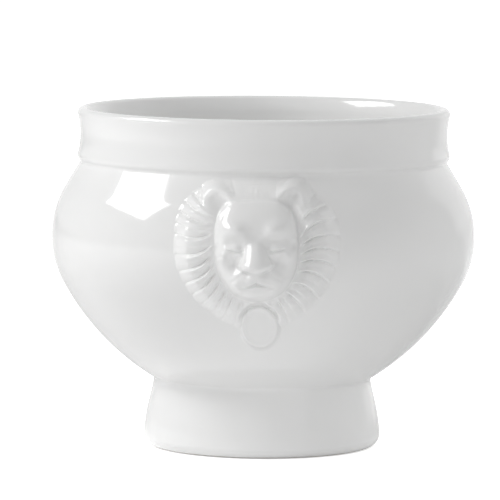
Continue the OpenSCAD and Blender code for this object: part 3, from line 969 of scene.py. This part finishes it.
class SOUP_BOWL_OT_stage(bpy.types.Operator):
    """Sets the white floor, the room, the lamp and the camera"""
    bl_idname = "soup_bowl.stage"
    bl_label = "Stage"

    FLOOR_SIZE = 30.0
    FLOOR_DROP = 0.05 * MM
    PAPER_ROUGHNESS = 0.9
    SENSOR_WIDTH = 36.0
    FARTHEST = 100.0
    # Directions from the bowl
    FRONT = (0.0, -1.0, 0.0)
    RIGHT = (1.0, 0.0, 0.0)
    RIGHT_CORNER = (0.707, 0.707, 0.0)
    FRONT_LEFT = (-0.6, -0.8, 0.0)
    BACK = (0.15, 0.99, 0.0)

    def execute(self, context):
        studio = context.scene.studio_look
        self.lay_floor(studio)
        self.light_room(context.scene, studio)
        self.hang_softbox(context.scene, studio)
        self.set_camera(context.scene, studio)
        context.scene.view_settings.view_transform = "Standard"
        return {"FINISHED"}

    def lay_floor(self, studio):
        """White paper that keeps the bowl's shadow; the glaze shows it paler in front and far behind."""
        deselect_all()
        bpy.ops.mesh.primitive_plane_add(size=self.FLOOR_SIZE, location=(0.0, 0.0, -self.FLOOR_DROP))
        floor = bpy.context.object
        floor.name = "floor"
        material = bpy.data.materials.new("White paper")
        material.use_nodes = True
        wire = Wiring(material.node_tree)
        shader = wire.nodes["Principled BSDF"]
        wire.feed(shader.inputs["Base Color"], (*studio.floor, 1.0))
        wire.feed(shader.inputs["Roughness"], self.PAPER_ROUGHNESS)
        seen, mirrored = wire.rays()
        place = wire.place("Object")
        before = wire.ramp(wire.side(place, self.FRONT_LEFT), (-0.3, 0.9), (0.0, studio.floor_before))
        behind = wire.ramp(wire.side(place, self.BACK), (0.78, 0.92), (0.0, studio.floor_behind))
        far = wire.ramp(wire.vector("LENGTH", (place,)), (0.18, 0.34))
        pale = wire.math("ADD", before, wire.math("MULTIPLY", behind, far))
        seen = wire.math("MULTIPLY", seen, studio.floor_seen)
        level = wire.math("MAXIMUM", seen, wire.math("MULTIPLY", mirrored, pale))
        glow = wire.add("ShaderNodeEmission", {"Strength": level})
        both = wire.add("ShaderNodeAddShader", {0: shader.outputs["BSDF"], 1: glow.outputs["Emission"]})
        wire.feed(wire.nodes["Material Output"].inputs["Surface"], both.outputs["Shader"])
        floor.data.materials.append(material)

    def light_room(self, scene, studio):
        """Room that is white to the camera; its walls light the bowl, and the glaze shows darker sides."""
        world = bpy.data.worlds.new("White room")
        scene.world = world
        world.use_nodes = True
        wire = Wiring(world.node_tree)
        back = wire.nodes["Background"]
        wire.feed(back.inputs["Color"], (1.0, 1.0, 1.0, 1.0))
        seen, mirrored = wire.rays()
        place = wire.place("Generated")
        front = wire.ramp(wire.side(place, self.FRONT), (0.0, 0.9), (0.0, studio.front_light))
        corner = wire.ramp(wire.side(place, self.RIGHT_CORNER), (0.3, 0.9), (0.0, studio.corner_light))
        across = wire.side(place, self.RIGHT)
        left = wire.ramp(across, (-0.5, -0.15), (studio.mirrored_left, studio.mirrored_room))
        right = wire.ramp(across, (0.68, 0.78), (studio.mirrored_room, studio.mirrored_right))
        walls = wire.math("ADD", front, corner)
        room = wire.mix(mirrored, walls, wire.math("MINIMUM", left, right))
        wire.feed(back.inputs["Strength"], wire.math("MAXIMUM", room, seen))

    def hang_softbox(self, scene, studio):
        """Rectangular lamp on the left, which looks at the middle of the bowl."""
        lamp = bpy.data.lights.new("softbox", "AREA")
        lamp.shape = "RECTANGLE"
        lamp.size = studio.softbox_width
        lamp.size_y = studio.softbox_height
        lamp.energy = studio.softbox_power
        holder = bpy.data.objects.new("softbox", lamp)
        scene.collection.objects.link(holder)
        level = math.cos(studio.softbox_rise)
        out = Vector((math.sin(studio.softbox_turn) * level, -math.cos(studio.softbox_turn) * level,
                      math.sin(studio.softbox_rise)))
        middle = Vector((0.0, 0.0, COLLAR_BOX[1].z / 2.0))
        facing = out.to_track_quat("Z", "Y").to_matrix().to_4x4()
        lean = Matrix.Rotation(studio.softbox_roll, 4, "Z")
        holder.matrix_world = Matrix.Translation(middle + studio.softbox_distance * out) @ facing @ lean

    def set_camera(self, scene, studio):
        """Long lens a little above the rim, almost straight in front of the lion."""
        camera = bpy.data.cameras.new("camera")
        camera.lens = studio.focal
        camera.sensor_width = self.SENSOR_WIDTH
        camera.shift_x = studio.shift
        camera.clip_end = self.FARTHEST
        holder = bpy.data.objects.new("camera", camera)
        scene.collection.objects.link(holder)
        turn = Matrix.Rotation(studio.turn, 4, "Z")
        tilt = Matrix.Rotation(math.pi / 2 - studio.pitch, 4, "X")
        lean = Matrix.Rotation(studio.roll, 4, "Z")
        place = Matrix.Translation((0.0, -studio.distance, studio.height))
        holder.matrix_world = turn @ place @ tilt @ lean
        scene.camera = holder


class SOUP_BOWL_PT_sidebar(bpy.types.Panel):
    """Buttons and sizes of the soup bowl"""
    bl_idname = "SOUP_BOWL_PT_sidebar"
    bl_label = "Soup bowl"
    bl_space_type = "VIEW_3D"
    bl_region_type = "UI"
    bl_category = "Soup bowl"

    def draw(self, context):
        for operator in OPERATORS:
            self.layout.operator(operator.bl_idname)
        for group in GROUPS:
            box = self.layout.box()
            settings = getattr(context.scene, group)
            for name in settings.__annotations__:
                box.prop(settings, name)


OPERATORS = (SOUP_BOWL_OT_belly, SOUP_BOWL_OT_collar, SOUP_BOWL_OT_foot, SOUP_BOWL_OT_lion_masks,
             SOUP_BOWL_OT_medallions, SOUP_BOWL_OT_stage)
GROUPS = {"bowl_sizes": BowlSizes, "lion_sizes": LionSizes, "porcelain_look": PorcelainLook,
          "studio_look": StudioLook}
CLASSES = (*GROUPS.values(), *OPERATORS, SOUP_BOWL_PT_sidebar)


def register():
    """Adds the classes and their settings to Blender."""
    for item in CLASSES:
        bpy.utils.register_class(item)
    for name, group in GROUPS.items():
        setattr(bpy.types.Scene, name, PointerProperty(type=group))


def unregister():
    """Takes the classes and their settings out again."""
    for name in GROUPS:
        delattr(bpy.types.Scene, name)
    for item in reversed(CLASSES):
        bpy.utils.unregister_class(item)


def main():
    """Builds the bowl piece by piece."""
    register()
    bpy.ops.soup_bowl.stage()
    bpy.ops.soup_bowl.belly()
    bpy.ops.soup_bowl.collar()
    bpy.ops.soup_bowl.foot()
    bpy.ops.soup_bowl.lion_masks()
    bpy.ops.soup_bowl.medallions()
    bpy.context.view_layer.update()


if __name__ == "__main__":
    main()
